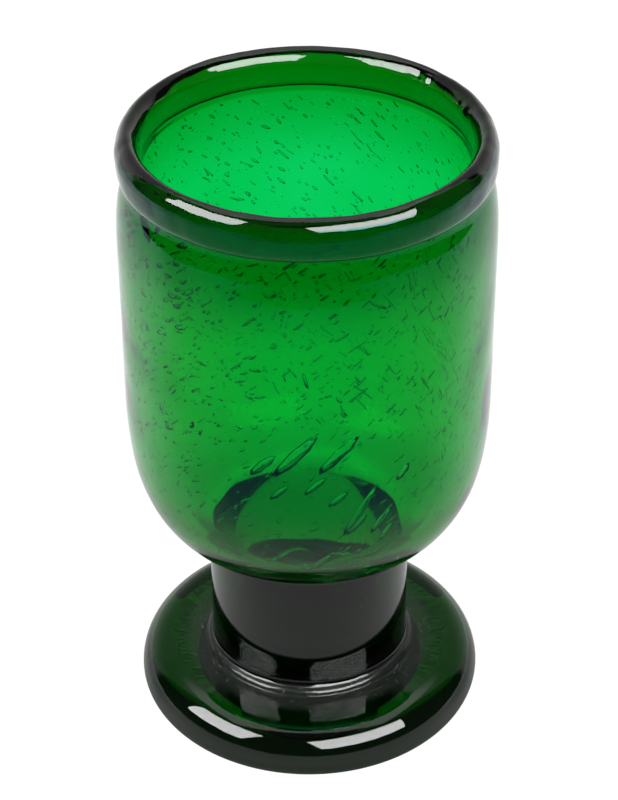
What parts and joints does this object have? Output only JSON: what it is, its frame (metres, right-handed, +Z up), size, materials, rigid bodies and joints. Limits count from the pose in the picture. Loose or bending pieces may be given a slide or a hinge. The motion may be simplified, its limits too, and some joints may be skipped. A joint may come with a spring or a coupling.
{
  "type": "water goblet",
  "caption": "Heavy blown water goblet of bubbled green glass, with a wrapped lip, a deep round-bottomed bowl that runs down into a well in its short, thick stem, and a thick round foot.",
  "frame": {"origin": "centre of the foot's underside, on the surface that the goblet stands on", "axes": "+Z up along the goblet's axis, from the foot to the mouth; the side towards -Y is the front"},
  "size_m": [0.0858, 0.0858, 0.155],
  "materials": {
    "thick_glass": "fire-polished, so thick and so deep green that it looks black",
    "bowl_glass": "fire-polished, clear emerald green full of small bubbles",
    "lip_glass": "fire-polished, thick and dark green"
  },
  "bodies": {
    "root": {"foot": "thick_glass", "foot_collar": "thick_glass", "stem": "thick_glass", "bowl": "bowl_glass", "lip_wrap": "lip_glass"}
  },
  "joints": []
}
